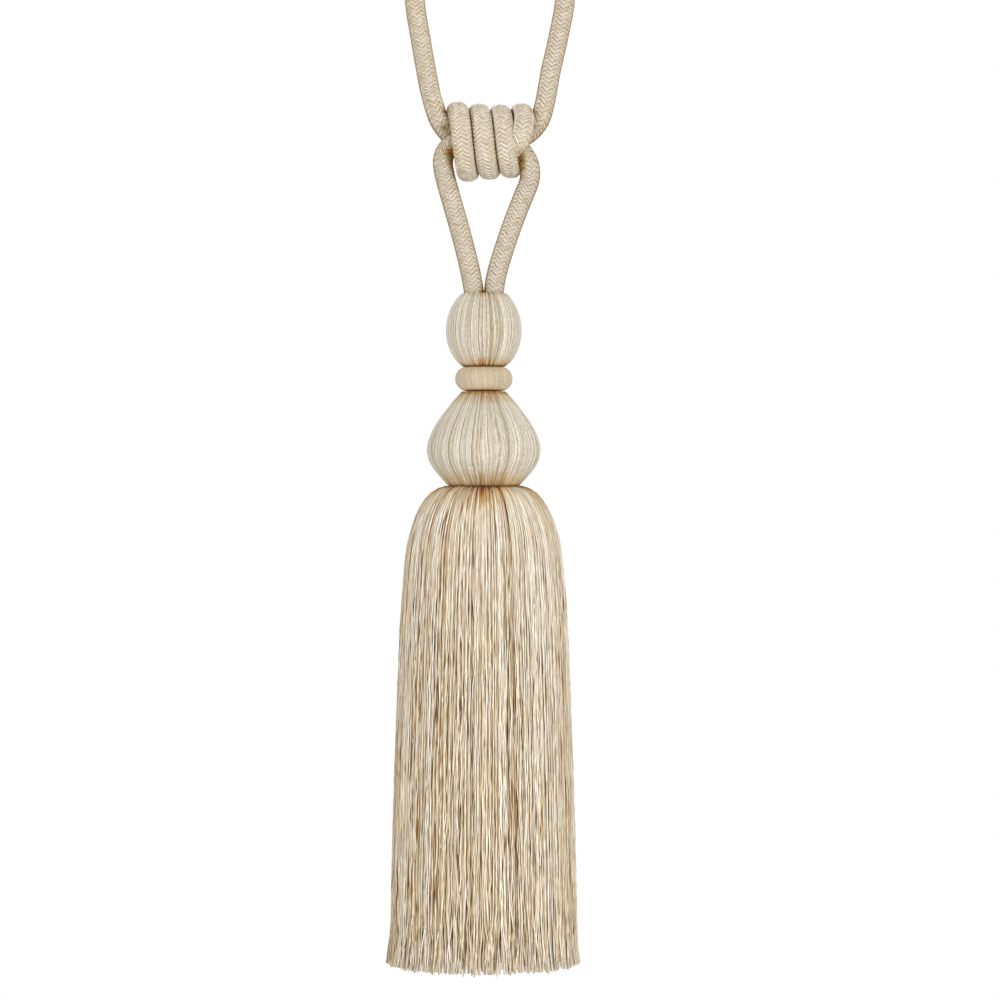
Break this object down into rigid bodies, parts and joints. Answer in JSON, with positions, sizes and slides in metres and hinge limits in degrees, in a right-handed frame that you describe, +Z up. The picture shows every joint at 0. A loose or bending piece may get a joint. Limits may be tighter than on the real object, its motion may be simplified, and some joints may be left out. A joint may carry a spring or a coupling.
{
  "type": "curtain tieback tassel",
  "caption": "Braided cord loop with a wound cord knot and a second cord loop carrying a tassel: yarn-covered ball, wrapped ring and bell-shaped mould over a long skirt of hanging yarns.",
  "frame": {"origin": "inner top of the cord loop, where a holdback hook would carry it", "axes": "+Z up along the hanging tassel, front of the knot towards -Y, +X to the right seen from the front"},
  "size_m": [0.0956, 0.0956, 0.5328],
  "materials": {
    "braid": "soft matt braided yarn in ivory and beige",
    "head_yarn": "soft matt yarn laid lengthwise over the mould, ivory and tan",
    "ring_thread": "plain beige-tan thread wound round the ring",
    "skirt_yarn": "twisted hanging yarns in ivory, beige and tan"
  },
  "bodies": {
    "root": {"embrace_cord": "braid", "tassel_cord": "braid", "knot_wrap": "braid", "head_ball": "head_yarn", "wrapped_ring": "ring_thread", "pear_mould": "head_yarn", "skirt": "skirt_yarn"}
  },
  "joints": []
}
